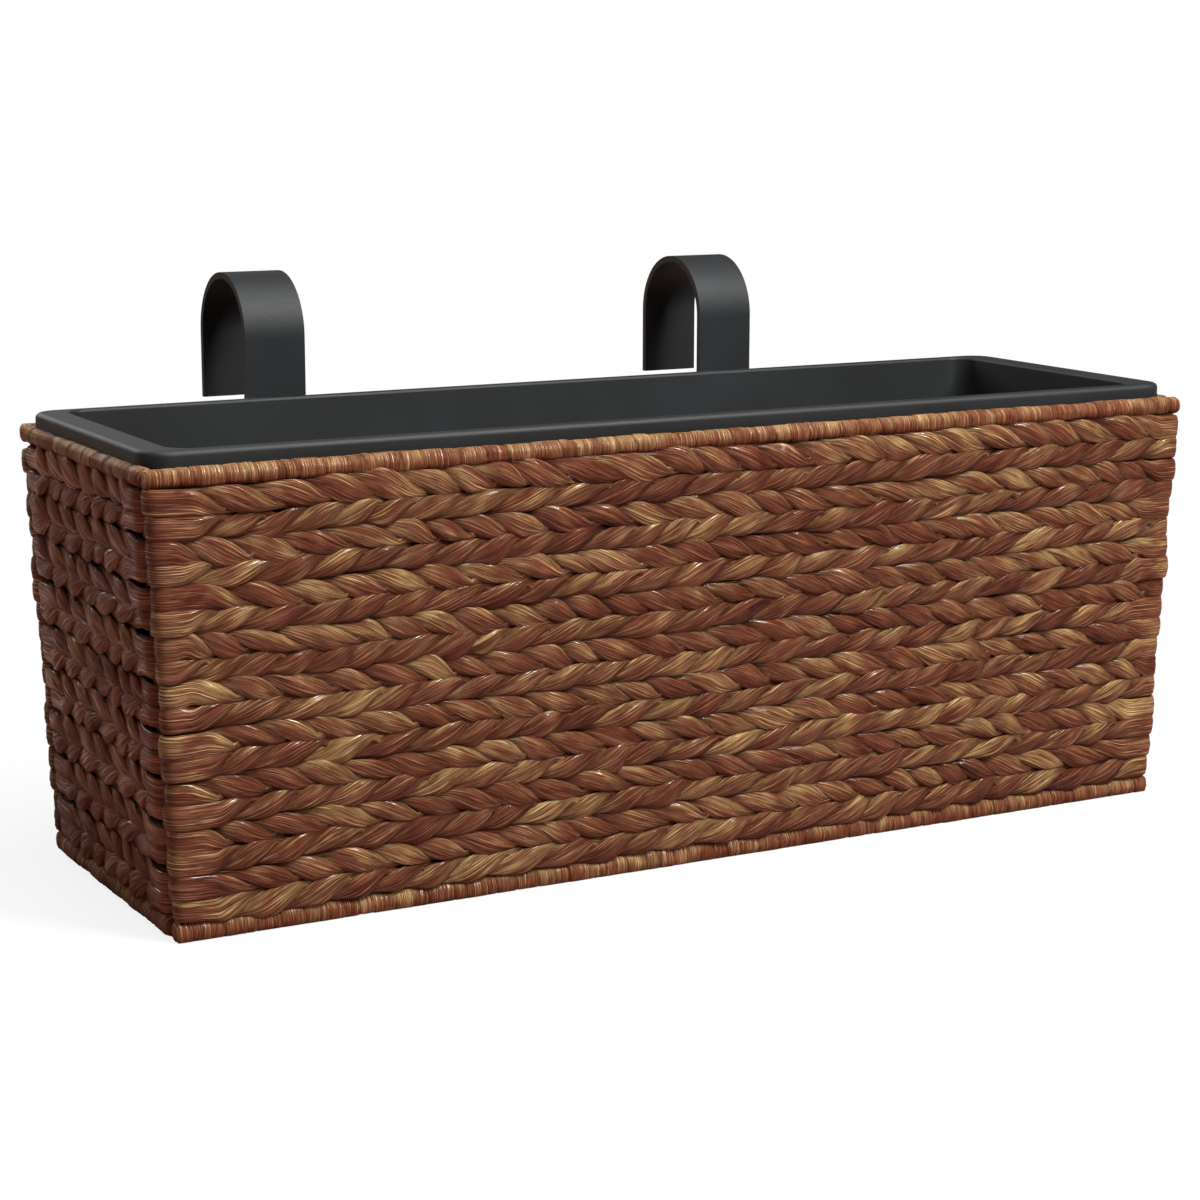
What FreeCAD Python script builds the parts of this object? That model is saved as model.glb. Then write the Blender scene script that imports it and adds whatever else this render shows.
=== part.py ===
"""Woven window box: a wire basket with four twined panels, a lift-out liner and two rail hooks.

Millimetres. +X runs along the box, -Y is the front, +Y the side that hangs on the rail, +Z is up.
Everything is drawn about the middle of the base, on the plane the box stands on. The pieces are
written with their origin in that plane, under the middle of the front bottom rod.
"""
import FreeCAD, Part
import math
import os
from dataclasses import dataclass

V = FreeCAD.Vector
X_AXIS = V(1, 0, 0)
Y_AXIS = V(0, 1, 0)
Z_AXIS = V(0, 0, 1)
ORIGIN = V(0, 0, 0)

# ---- driving dimensions: the rims of the frame -------------------------------------------------
frame_height = 190.0          # middle of the bottom rods to middle of the top rods
front_plane_top = 81.5        # middle of the box to the front and back top rods
front_plane_bottom = 78.0     # the same at the bottom rods
side_plane_top = 260.5        # middle of the box to the plane of the side panels, at the top rods
side_plane_bottom = 251.7     # the same at the bottom rods
side_rod_offset = 1.5         # the side rods lie this far outside the plane of their stakes
rim_rod_d = 5.0               # steel rods of both rims
top_wrap_d = 8.6              # top rods with their fibre wrapping
bottom_wrap_d = 10.0          # bottom rods with their coarser wrapping
wrap_end = 3.4                # how far a long rim runs past the middle of the side rods
wrap_chamfer = 1.2
base_flat = 0.5               # the bottom wrapping is worn flat where the box stands
slit_width = 4.8              # gap in a wrapping through which stakes and posts reach the rod
wrap_fit = 0.1                # between a rod and the wrapping round it
weld_gap = 0.1                # between the end of a stake and the rod that it is welded to

# ---- driving dimensions: stakes and weave ------------------------------------------------------
post_d = 4.0                  # outermost stake of each panel, which the weave turns round
stake_width = 3.0             # the stakes between, of square bar
stake_pitch = 20.6            # along the panel, half way up
course_count = 9
strand_thickness = 2.6        # one layer of weave at the crown of a row
strand_edge = 1.3             # the same layer at the edge of a row
slot_half = 2.7               # middle of the panel to the inside of each layer
turn_folds = 4                # corners of a course where it turns round an end post
course_gap = 0.3              # between one course and the next
post_inset = 1.2              # corner posts of the long panels inside the plane of the side panels
panel_gap = 0.6               # between a long panel and the side panel that meets it
weave_bottom_gap = 0.5        # bottom wrapping to the lowest course
weave_top_gap = 0.4           # highest course to the top wrapping
floor_wire_d = 4.0
floor_wire_count = 5
floor_wire_pitch = 90.0

# ---- driving dimensions: rail hooks ------------------------------------------------------------
strip_width = 30.0
strip_thickness = 3.0
rail_opening = 53.0           # clear width between the two legs of a hook
hook_rise = 66.0              # middle of the top rods to the outside of the bend
return_leg_drop = 62.3        # outside of the bend to the free end behind the rail
left_hook_x = -139.8
right_hook_x = 107.6
rim_clearance = 0.3           # between a hook's lower bend and the wrapped rim
hook_bay = 185.0              # the back stakes at the middle and at this distance reach the rim
lip_clearance = 0.5           # between a hook's lower bend and the weave below it

# ---- driving dimensions: liner -----------------------------------------------------------------
liner_wall = 2.0
rim_seat_angle = 40.6         # where the rolled rim rests on the round of the side rims, from their top
rim_side_gap = 4.5            # middle of the long top rods to the side of the rolled rim
rim_end_roll = 6.2            # how far the rolled rim stands out from the tub, at its ends
rim_side_roll = 4.5           # the same along its sides
floor_end_gap = 11.7          # middle of the side panels to the tub's floor, at the bottom rods
floor_side_gap = 15.5         # the same for the front and back panels
liner_corner = 13.0
rim_corner = 12.0
rim_height = 6.8
rim_rounding = 2.4
rim_inner_rounding = 1.4
seat_clearance = 0.3          # liner to floor wires, and rolled rim to wrapped rim

# ---- derived places ----------------------------------------------------------------------------
bottom_rod_z = bottom_wrap_d / 2 - base_flat
top_rod_z = bottom_rod_z + frame_height
side_rod_top = side_plane_top + side_rod_offset
side_rod_bottom = side_plane_bottom + side_rod_offset
layer_outer = slot_half + strand_thickness
lip_outer_radius = top_wrap_d / 2 + rim_clearance + strip_thickness
weave_low_z = bottom_rod_z + bottom_wrap_d / 2 + weave_bottom_gap
weave_high_z = top_rod_z - top_wrap_d / 2 - weave_top_gap
back_weave_high_z = top_rod_z - lip_outer_radius - lip_clearance
long_post_top = side_plane_top - post_inset
long_post_bottom = side_plane_bottom - post_inset
seat_inset = top_wrap_d / 2 * math.sin(math.radians(rim_seat_angle))
seat_rise = top_wrap_d / 2 * math.cos(math.radians(rim_seat_angle))
rim_length = 2 * (side_rod_top - seat_inset)
rim_width = 2 * (front_plane_top - rim_side_gap)
liner_top_length = rim_length - 2 * rim_end_roll
liner_top_width = rim_width - 2 * rim_side_roll
liner_bottom_length = 2 * (side_plane_bottom - floor_end_gap)
liner_bottom_width = 2 * (front_plane_bottom - floor_side_gap)
liner_rim_z = top_rod_z + seat_rise + seat_clearance
liner_top_z = liner_rim_z + rim_height
liner_floor_z = bottom_rod_z + floor_wire_d / 2 + seat_clearance


@dataclass
class Panel:
    """One woven wall, drawn upright facing +Y and then leant and turned to its side of the box."""

    name: str
    heading: float            # degrees about Z from the back of the box
    plane_bottom: float
    plane_top: float
    post_bottom: float
    post_top: float
    high_z: float

    @property
    def lean(self):
        """Degrees by which the wall leans outwards."""
        return math.degrees(math.atan2(self.plane_top - self.plane_bottom, frame_height))

    def slope_length(self, z):
        """Distance up the wall from the middle of the bottom rods to the height z."""
        return (z - bottom_rod_z) / math.cos(math.radians(self.lean))

    def post_at(self, v):
        """Half the distance between the two end posts, v up the wall."""
        share = v / self.slope_length(top_rod_z)
        return self.post_bottom + share * (self.post_top - self.post_bottom)

    def place(self, shape):
        """Lean a shape drawn in the plane of the wall, and carry it to its side of the box."""
        placed = shape.copy()
        placed.rotate(ORIGIN, X_AXIS, -self.lean)
        placed.translate(V(0, self.plane_bottom, bottom_rod_z))
        placed.rotate(ORIGIN, Z_AXIS, self.heading)
        return placed


side_post_top = front_plane_top - 2 * layer_outer - panel_gap
side_post_bottom = front_plane_bottom - 2 * layer_outer - panel_gap
long_walls = dict(plane_bottom=front_plane_bottom, plane_top=front_plane_top,
                  post_bottom=long_post_bottom, post_top=long_post_top)
side_walls = dict(plane_bottom=side_plane_bottom, plane_top=side_plane_top,
                  post_bottom=side_post_bottom, post_top=side_post_top)
front = Panel("front", heading=180, high_z=weave_high_z, **long_walls)
back = Panel("back", heading=0, high_z=back_weave_high_z, **long_walls)
left = Panel("left", heading=90, high_z=weave_high_z, **side_walls)
right = Panel("right", heading=-90, high_z=weave_high_z, **side_walls)


def rod(start, end, diameter):
    """Round bar between two points."""
    run = end - start
    return Part.makeCylinder(diameter / 2, run.Length, start, run)


def export(name, shape):
    """Write one node, with its origin under the front bottom rod."""
    moved = shape.copy()
    moved.translate(V(0, front_plane_bottom, 0))
    moved.exportStep(f"parts/{name}.step")


# ---- weave -------------------------------------------------------------------------------------
def turn_outline(half_length, reach, z):
    """Outline round a row of stakes, reach from their middle, folded evenly round both end posts."""
    points = []
    for centre_x, first in ((half_length, -90), (-half_length, 90)):
        for index in range(turn_folds):
            angle = math.radians(first + (index + 0.5) * 180 / turn_folds)
            radius = reach / math.cos(math.radians(90 / turn_folds))
            points.append(V(centre_x + radius * math.cos(angle), radius * math.sin(angle), z))
    return Part.makePolygon(points + points[:1])


def course(half_length, height):
    """One course: two ridged rows of strands, before the stakes, round the posts and behind them."""
    edge = slot_half + strand_edge
    outlines = []
    for index, reach in enumerate([edge, layer_outer, edge, layer_outer, edge]):
        outlines.append(turn_outline(half_length, reach, (index - 2) * height / 4))
    rows = Part.makeLoft(outlines, True, True)
    hollow = Part.Face(turn_outline(half_length, slot_half, -height / 2)).extrude(V(0, 0, height))
    return rows.cut(hollow).Solids[0]


def weave_panel(panel):
    """Export the courses of a wall, from the lowest up."""
    low = panel.slope_length(weave_low_z)
    high = panel.slope_length(panel.high_z)
    pitch = (high - low) / course_count
    for index in range(course_count):
        middle = low + (index + 0.5) * pitch
        ring = course(panel.post_at(middle), pitch - course_gap)
        ring.translate(V(0, 0, middle))
        export(f"{panel.name}_course_{index + 1}", panel.place(ring))


# ---- wire frame --------------------------------------------------------------------------------
def stake_line(panel, share, top_z):
    """Both ends of a stake at a share, -1 to 1, of the way to the end posts."""
    low = panel.slope_length(bottom_rod_z + rim_rod_d / 2 + weld_gap)
    high = panel.slope_length(top_z)
    return V(share * panel.post_at(low), 0, low), V(share * panel.post_at(high), 0, high)


def square_bar(start, end, width):
    """Bar of square section with level ends."""
    corner = start - V(width / 2, width / 2, 0)
    return Part.makePlane(width, width, corner).extrude(end - start)


def stakes(panel, reaches_rim):
    """End posts and stakes of one wall. reaches_rim says which stakes go up to the top rod."""
    rim_z = top_rod_z - rim_rod_d / 2 - weld_gap
    short_z = panel.high_z - course_gap
    middle_post = panel.post_at(panel.slope_length((bottom_rod_z + top_rod_z) / 2))
    steps = max(2, round(middle_post / stake_pitch))
    bars = [rod(*stake_line(panel, side, rim_z), post_d) for side in (-1, 1)]
    for index in range(1 - steps, steps):
        top = rim_z if reaches_rim(index, steps, middle_post) else short_z
        bars.append(square_bar(*stake_line(panel, index / steps, top), stake_width))
    return [panel.place(bar) for bar in bars]


def every_stake(index, steps, middle_post):
    """All stakes are welded to the top rod."""
    return True


def bay_stake(index, steps, middle_post):
    """Along the back only the middle stake and one in each half reach the rim."""
    bay = round(hook_bay / (middle_post / steps))
    return abs(index) in (0, bay)


def rim_rods(z, plane, side_x, level):
    """Four rods of one rim: two full length, and two butted between them."""
    overhang = side_x + wrap_end
    gap = plane - rim_rod_d / 2
    inset = wrap_chamfer
    for name, side in (("front", -1), ("back", 1)):
        ends = [V(s * (overhang - inset), side * plane, z) for s in (-1, 1)]
        export(f"{level}_rod_{name}", rod(*ends, rim_rod_d))
    for name, side in (("left", -1), ("right", 1)):
        ends = [V(side * side_x, s * gap, z) for s in (-1, 1)]
        export(f"{level}_rod_{name}", rod(*ends, rim_rod_d))


def sleeve(start, end, outer_d, chamfered):
    """Wrapping of a rod, open along the rod, with its two outer edges broken if chamfered."""
    tube = rod(start, end, outer_d)
    if chamfered:
        rims = [e for e in tube.Edges if isinstance(e.Curve, Part.Circle)]
        tube = tube.makeChamfer(wrap_chamfer, rims)
    run = end - start
    bore = rim_rod_d + 2 * wrap_fit
    if chamfered:
        inset = V(run).normalize() * wrap_chamfer
        return tube.cut(rod(start + inset, end - inset, bore))
    return tube.cut(rod(start, end, bore))


def slit(start, end, toward, depth):
    """Channel along a wrapping, from its rod towards the stakes."""
    run = end - start
    centre_offset = toward * (depth / 2)
    box = Part.makeBox(run.Length, slit_width, depth)
    box.translate(V(-run.Length / 2, -slit_width / 2, -depth / 2))
    angle = math.degrees(math.atan2(run.y, run.x))
    box.rotate(ORIGIN, Z_AXIS, angle)
    box.translate((start + end) / 2 + centre_offset)
    return box


def passage(x, reach, z, diameter):
    """Square way across the box through both long wrappings, between turns of the fibre."""
    width = diameter + 2 * wrap_fit
    return Part.makeBox(width, 2 * reach, width, V(x - width / 2, -reach, z - width / 2))


def rim_wraps(z, plane, side_x, wrap_d, level, toward, offset, cuts):
    """Four wrappings of one rim. The side ones end against the long ones."""
    overhang = side_x + wrap_end
    gap = plane - wrap_d / 2 - rim_clearance
    side_rods = [passage(s * side_x, plane, z, rim_rod_d) for s in (-1, 1)]
    ground = Part.makeBox(4 * overhang, 8 * plane, wrap_d, V(-2 * overhang, -4 * plane, -wrap_d))
    post_reach = long_post_top + post_d
    for name, side in (("front", -1), ("back", 1)):
        ends = [V(s * overhang, side * plane, z) for s in (-1, 1)]
        slot_ends = [V(s * post_reach, side * plane, z) for s in (-1, 1)]
        hollows = [slit(*slot_ends, toward, wrap_d), ground] + side_rods + cuts
        wrap = sleeve(*ends, wrap_d, True).cut(hollows)
        export(f"{level}_wrap_{name}", wrap.Solids[0])
    for name, side in (("left", -1), ("right", 1)):
        ends = [V(side * side_x, s * gap, z) for s in (-1, 1)]
        slot_ends = [V(side * (side_x - offset), s * (gap + 1), z) for s in (-1, 1)]
        wrap = sleeve(*ends, wrap_d, False).cut([slit(*slot_ends, toward, wrap_d), ground])
        export(f"{level}_wrap_{name}", wrap.Solids[0])


def floor_wire_places():
    """Middle of each cross wire of the open floor, along the box."""
    first = -(floor_wire_count - 1) / 2
    return [(first + index) * floor_wire_pitch for index in range(floor_wire_count)]


def floor_wire(x):
    """Cross wire of the open floor, from the front bottom rod to the back one."""
    reach = front_plane_bottom - rim_rod_d / 2
    return rod(V(x, -reach, bottom_rod_z), V(x, reach, bottom_rod_z), floor_wire_d)


# ---- rail hooks --------------------------------------------------------------------------------
def rail_hook(x):
    """Flat strip bent over the rail, its lower end bent under and round the wrapped back rim."""
    lip = top_wrap_d / 2 + rim_clearance
    bend = rail_opening / 2
    near = front_plane_top + lip
    middle = near + strip_thickness + bend
    far = middle + bend
    bend_z = top_rod_z + hook_rise - strip_thickness - bend
    free_z = top_rod_z + hook_rise - return_leg_drop
    t = strip_thickness

    def arc(cy, cz, radius, low_deg, high_deg):
        degrees = (low_deg, (low_deg + high_deg) / 2, high_deg)
        points = [V(0, cy + radius * math.cos(math.radians(a)),
                    cz + radius * math.sin(math.radians(a))) for a in degrees]
        return Part.Arc(*points).toShape()

    def line(y0, z0, y1, z1):
        return Part.LineSegment(V(0, y0, z0), V(0, y1, z1)).toShape()

    rim_y = front_plane_top
    edges = [
        arc(rim_y, top_rod_z, lip, 180, 360),
        line(near, top_rod_z, near, bend_z),
        arc(middle, bend_z, bend + t, 180, 0),
        line(far + t, bend_z, far + t, free_z),
        line(far + t, free_z, far, free_z),
        line(far, free_z, far, bend_z),
        arc(middle, bend_z, bend, 0, 180),
        line(near + t, bend_z, near + t, top_rod_z),
        arc(rim_y, top_rod_z, lip + t, 360, 180),
        line(rim_y - lip - t, top_rod_z, rim_y - lip, top_rod_z),
    ]
    strip = Part.Face(Part.Wire(edges)).extrude(V(strip_width, 0, 0))
    strip.translate(V(x - strip_width / 2, 0, 0))
    return strip


# ---- liner -------------------------------------------------------------------------------------
def rounded_outline(length, width, radius, z):
    """Closed outline of a rectangle with round corners, centred on the origin."""
    x = length / 2
    y = width / 2
    edges = []
    corners = [(x, y, 0), (-x, y, 90), (-x, -y, 180), (x, -y, 270)]
    starts = []
    for cx, cy, first in corners:
        centre = V(cx - math.copysign(radius, cx), cy - math.copysign(radius, cy), z)
        points = [centre + V(math.cos(math.radians(first + a)), math.sin(math.radians(first + a)), 0)
                  * radius for a in (0, 45, 90)]
        starts.append(points)
    for index, points in enumerate(starts):
        following = starts[(index + 1) % 4]
        edges.append(Part.Arc(*points).toShape())
        edges.append(Part.LineSegment(points[2], following[0]).toShape())
    return Part.Wire(edges)


def prism(length, width, radius, z, height):
    """Upright block with round corners."""
    return Part.Face(rounded_outline(length, width, radius, z)).extrude(V(0, 0, height))


def tapered_block(low, high):
    """Solid between two rounded outlines, each given as length, width, radius and height."""
    return Part.makeLoft([rounded_outline(*low), rounded_outline(*high)], True, True)


def taper_at(z):
    """Outside length and width of the tub at a height."""
    share = (z - liner_floor_z) / (liner_rim_z - liner_floor_z)
    length = liner_bottom_length + share * (liner_top_length - liner_bottom_length)
    width = liner_bottom_width + share * (liner_top_width - liner_bottom_width)
    return length, width


def liner():
    """Moulded tub with tapered walls and a hollow rolled rim that sits on the basket's rim."""
    past = 1.0
    outside = tapered_block((*taper_at(liner_floor_z), liner_corner, liner_floor_z),
                            (*taper_at(liner_top_z), liner_corner, liner_top_z))
    thick = 2 * liner_wall
    inner_low = liner_floor_z + liner_wall
    inner_high = liner_top_z + past
    low = [size - thick for size in taper_at(inner_low)]
    high = [size - thick for size in taper_at(inner_high)]
    inner_corner = liner_corner - liner_wall
    inside = tapered_block((*low, inner_corner, inner_low), (*high, inner_corner, inner_high))
    rim = prism(rim_length, rim_width, rim_corner, liner_rim_z, rim_height)
    top_edges = [e for e in rim.Edges if e.BoundBox.ZMin > liner_top_z - 0.01]
    rim = rim.makeFillet(rim_rounding, top_edges)
    hollow = prism(rim_length - thick, rim_width - thick, rim_corner - liner_wall,
                   liner_rim_z - past, rim_height - liner_wall + past)
    tub = rim.cut(hollow).fuse(outside).cut(inside)
    inner_edges = [e for e in tub.Edges if e.BoundBox.ZMin > liner_top_z - 0.01]
    inner_edges = [e for e in inner_edges if is_mouth_edge(e)]
    return tub.makeFillet(rim_inner_rounding, inner_edges).Solids[0]


def is_mouth_edge(edge):
    """Whether an edge on the top of the rim belongs to the mouth of the tub."""
    length, width = (size - 2 * liner_wall for size in taper_at(liner_top_z))
    box = edge.BoundBox
    slack = 0.05
    inside_x = max(abs(box.XMin), abs(box.XMax)) < length / 2 + slack
    inside_y = max(abs(box.YMin), abs(box.YMax)) < width / 2 + slack
    return inside_x and inside_y


def main():
    """Build and export every piece."""
    os.makedirs("parts", exist_ok=True)
    for panel in (front, back, left, right):
        weave_panel(panel)
    export("front_stakes", Part.makeCompound(stakes(front, every_stake)))
    export("back_stakes", Part.makeCompound(stakes(back, bay_stake)))
    export("side_stakes", Part.makeCompound(stakes(left, every_stake) + stakes(right, every_stake)))
    rim_rods(top_rod_z, front_plane_top, side_rod_top, "top")
    rim_rods(bottom_rod_z, front_plane_bottom, side_rod_bottom, "bottom")
    wire_ways = [passage(x, front_plane_bottom, bottom_rod_z, floor_wire_d)
                 for x in floor_wire_places()]
    down = V(0, 0, -1)
    up = V(0, 0, 1)
    rim_wraps(top_rod_z, front_plane_top, side_rod_top, top_wrap_d, "top", down,
              side_rod_offset, [])
    rim_wraps(bottom_rod_z, front_plane_bottom, side_rod_bottom, bottom_wrap_d, "bottom", up,
              side_rod_offset, wire_ways)
    export("floor_wires", Part.makeCompound([floor_wire(x) for x in floor_wire_places()]))
    export("liner", liner())
    export("left_hook", rail_hook(left_hook_x))
    export("right_hook", rail_hook(right_hook_x))


main()
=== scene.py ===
"""Dresses the window box: twined walls, wrapped rims, a moulded liner and powder-coated hooks.

Sizes are in millimetres unless a name says otherwise, and are turned into metres where a mesh is
written. Walls are drawn flat, as seen from outside: u runs to the viewer's right, n outwards from the
stakes and v up the wall. Then each wall is leant and turned to its side of the box.
"""

import logging
import math
from dataclasses import dataclass
from enum import Enum

import bmesh
import bpy
import numpy as np
from mathutils import Matrix, Vector


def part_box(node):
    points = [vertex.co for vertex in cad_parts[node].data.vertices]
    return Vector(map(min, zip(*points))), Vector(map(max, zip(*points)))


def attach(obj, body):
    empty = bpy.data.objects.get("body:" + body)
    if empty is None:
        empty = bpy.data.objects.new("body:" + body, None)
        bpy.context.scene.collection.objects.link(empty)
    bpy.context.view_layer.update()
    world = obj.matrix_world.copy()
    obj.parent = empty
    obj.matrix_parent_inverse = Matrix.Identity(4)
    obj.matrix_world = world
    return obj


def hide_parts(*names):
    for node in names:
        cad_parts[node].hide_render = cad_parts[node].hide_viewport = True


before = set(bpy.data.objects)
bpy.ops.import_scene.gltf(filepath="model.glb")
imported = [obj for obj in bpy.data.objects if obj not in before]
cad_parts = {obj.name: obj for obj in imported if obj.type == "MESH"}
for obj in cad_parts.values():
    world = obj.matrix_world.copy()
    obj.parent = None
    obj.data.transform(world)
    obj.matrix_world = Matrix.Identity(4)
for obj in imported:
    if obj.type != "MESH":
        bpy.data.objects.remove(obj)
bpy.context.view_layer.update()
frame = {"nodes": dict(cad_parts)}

LOG = logging.getLogger("window_box")
MM = 0.001
MAP_UNIT = 10.0                     # millimetres for each unit of the UV map "strand"
Colour = tuple[float, float, float]


# ---- shader maths ----------------------------------------
class Value:
    """A number that varies over a surface: one socket, with the arithmetic of its Math nodes."""

    def __init__(self, shader: "ShaderTree", socket: bpy.types.NodeSocket) -> None:
        """Wrap an output socket of the shader's tree."""
        self.shader = shader
        self.socket = socket

    def maths(self, operation: str, *others: "Value | float") -> "Value":
        """Put this value through one Math node.

        Args:
            operation: The Math node's operation.
            others: Its other inputs, as values or numbers.

        Returns:
            The node's result.
        """
        return self.shader.maths(operation, self, *others)

    def __add__(self, other: "Value | float") -> "Value":
        """Sum."""
        return self.maths("ADD", other)

    def __radd__(self, other: float) -> "Value":
        """Sum with a number on the left."""
        return self.shader.maths("ADD", other, self)

    def __sub__(self, other: "Value | float") -> "Value":
        """Difference."""
        return self.maths("SUBTRACT", other)

    def __rsub__(self, other: float) -> "Value":
        """Difference with a number on the left."""
        return self.shader.maths("SUBTRACT", other, self)

    def __mul__(self, other: "Value | float") -> "Value":
        """Product."""
        return self.maths("MULTIPLY", other)

    def __rmul__(self, other: float) -> "Value":
        """Product with a number on the left."""
        return self.shader.maths("MULTIPLY", other, self)

    def power(self, exponent: float) -> "Value":
        """This value raised to a power."""
        return self.maths("POWER", exponent)

    def clamp(self) -> "Value":
        """This value held between 0 and 1."""
        return self.maths("MINIMUM", 1.0).maths("MAXIMUM", 0.0)

    def ramp(self, low: float, high: float) -> "Value":
        """Smooth step of this value.

        Args:
            low: The value at which the step is 0.
            high: The value at which it is 1.

        Returns:
            The step.
        """
        node = self.shader.node(
            "ShaderNodeMapRange",
            settings={"interpolation_type": "SMOOTHSTEP"},
            inputs={"Value": self, "From Min": low, "From Max": high})
        return Value(self.shader, node.outputs["Result"])


class ShaderTree:
    """The node tree of a material or of the world, and what is added to it."""

    def __init__(self, tree: bpy.types.NodeTree) -> None:
        """Add to that tree."""
        self.tree = tree

    def node(self, kind: str, settings: dict | None = None, inputs: dict | None = None) -> bpy.types.Node:
        """Add one node.

        Args:
            kind: The node's type.
            settings: Its own settings, such as an operation, or "stops" for a ramp.
            inputs: Values, numbers or sockets for its inputs, by name or place.

        Returns:
            The node.
        """
        node = self.tree.nodes.new(kind)
        for name, value in (settings or {}).items():
            if name == "stops":
                self._set_stops(node, value)
            else:
                setattr(node, name, value)
        for name, value in (inputs or {}).items():
            self.put(node.inputs[name], value)
        return node

    def put(self, socket: bpy.types.NodeSocket, value: object) -> None:
        """Link or set one input.

        Args:
            socket: The input.
            value: A value or another node's output to link, or a number or colour to set.
        """
        if isinstance(value, Value):
            self.tree.links.new(value.socket, socket)
        elif isinstance(value, bpy.types.NodeSocket):
            self.tree.links.new(value, socket)
        else:
            is_colour = isinstance(value, tuple) and len(value) == 3
            socket.default_value = (*value, 1.0) if is_colour else value

    @staticmethod
    def _set_stops(node: bpy.types.Node, stops: list[tuple[float, Colour]]) -> None:
        """Give a colour ramp its stops.

        Args:
            node: The colour ramp.
            stops: Place and colour of each stop, in order.
        """
        elements = node.color_ramp.elements
        while len(elements) > 1:
            elements.remove(elements[-1])
        elements[0].position = stops[0][0]
        elements[0].color = (*stops[0][1], 1.0)
        for place, colour in stops[1:]:
            elements.new(place).color = (*colour, 1.0)

    def maths(self, operation: str, *values: Value | float) -> Value:
        """One Math node of values and numbers."""
        node = self.node("ShaderNodeMath", {"operation": operation}, dict(enumerate(values)))
        return Value(self, node.outputs["Value"])

    def attribute(self, name: str) -> Value:
        """A number that the mesh carries on its points."""
        node = self.node("ShaderNodeAttribute", {"attribute_name": name})
        return Value(self, node.outputs["Fac"])

    def parts(self, vector: bpy.types.NodeSocket) -> list[Value]:
        """The three parts of a vector."""
        node = self.node("ShaderNodeSeparateXYZ", inputs={"Vector": vector})
        return [Value(self, node.outputs[axis]) for axis in "XYZ"]

    def uv(self, name: str) -> list[Value]:
        """Both coordinates of a UV map, and a third that is nought."""
        return self.parts(self.node("ShaderNodeUVMap", {"uv_map": name}).outputs["UV"])

    def place(self) -> list[Value]:
        """Where on the object a point lies, in metres."""
        return self.parts(self.node("ShaderNodeTexCoord").outputs["Object"])

    def noise(self, x: Value, y: Value, z: Value | float, detail: float = 2.0, rough: float = 0.5) -> Value:
        """Noise at a scaled place, about 0.5 on average.

        Args:
            x: First coordinate.
            y: Second coordinate.
            z: Third coordinate.
            detail: Number of finer layers.
            rough: Weight of the finer layers.

        Returns:
            The noise.
        """
        vector = self.node("ShaderNodeCombineXYZ", inputs={"X": x, "Y": y, "Z": z})
        inputs = {"Vector": vector.outputs["Vector"], "Scale": 1.0, "Detail": detail, "Roughness": rough}
        node = self.node("ShaderNodeTexNoise", {"noise_dimensions": "3D"}, inputs)
        return Value(self, node.outputs["Fac"])

    def colours(self, value: Value, stops: list[tuple[float, Colour]]) -> bpy.types.NodeSocket:
        """Colour of a value on a ramp."""
        return self.node("ShaderNodeValToRGB", {"stops": stops}, {"Fac": value}).outputs["Color"]

    def mix(self, share: Value, first: bpy.types.NodeSocket | Colour,
            second: bpy.types.NodeSocket | Colour) -> bpy.types.NodeSocket:
        """Mix two colours.

        Args:
            share: Share of the second colour, from 0 to 1.
            first: The first colour.
            second: The second colour.

        Returns:
            The mixed colour.
        """
        return self.node("ShaderNodeMix", {"data_type": "RGBA"}, {0: share, 6: first, 7: second}).outputs[2]


class Shader(ShaderTree):
    """One material, with a Principled BSDF at its end."""

    def __init__(self, name: str) -> None:
        """Make a material with its surface and output nodes alone.

        Args:
            name: The material's name.
        """
        self.material = bpy.data.materials.new(name)
        self.material.use_nodes = True
        super().__init__(self.material.node_tree)
        self.tree.nodes.clear()
        self.output = self.node("ShaderNodeOutputMaterial")
        self.surface = self.node("ShaderNodeBsdfPrincipled")
        self.tree.links.new(self.surface.outputs["BSDF"], self.output.inputs["Surface"])

    def finish(self, relief: Value | None = None, depth_mm: float = 0.1, **inputs: object) -> None:
        """Set the surface's inputs and its relief.

        Args:
            relief: Height of the surface, from 0 to 1.
            depth_mm: What a height of 1 stands for.
            inputs: Inputs of the surface, with _ for a space in their names.
        """
        for name, value in inputs.items():
            self.put(self.surface.inputs[name.replace("_", " ")], value)
        if relief is not None:
            bump = self.node("ShaderNodeBump", inputs={"Height": relief, "Distance": depth_mm * MM})
            self.tree.links.new(bump.outputs["Normal"], self.surface.inputs["Normal"])


def linear(red: int, green: int, blue: int) -> Colour:
    """Linear colour of three display values from 0 to 255."""
    shares = [part / 255 for part in (red, green, blue)]
    return tuple(s / 12.92 if s <= 0.04045 else ((s + 0.055) / 1.055) ** 2.4 for s in shares)


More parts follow.
